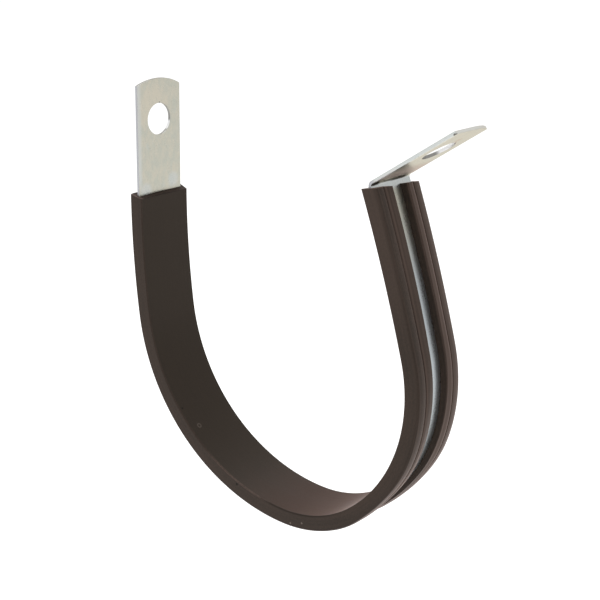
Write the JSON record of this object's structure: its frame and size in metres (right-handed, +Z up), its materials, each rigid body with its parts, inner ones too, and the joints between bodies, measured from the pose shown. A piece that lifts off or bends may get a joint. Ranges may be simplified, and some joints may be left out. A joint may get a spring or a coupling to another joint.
{
  "type": "rubber-lined p clip",
  "caption": "Open rubber-lined P clip: a bent steel strip with a holed fixing tab at each end and a rubber channel round its loop, for holding a pipe, hose or cable bundle.",
  "frame": {"origin": "centre of the fixing hole of the straight tab (tab A), on the strip's back face", "axes": "+X through the hole from the back face towards the inside of the loop and tab B, +Y along the strip's width, +Z up along tab A, away from the loop"},
  "size_m": [0.0755, 0.0134, 0.0835],
  "materials": {
    "zinc_plated_steel": "satin zinc plate, finely brushed along the strip",
    "black_rubber": "satin extruded rubber, warm brown-black"
  },
  "bodies": {
    "root": {"steel_band": "zinc_plated_steel", "rubber_liner": "black_rubber"}
  },
  "joints": []
}
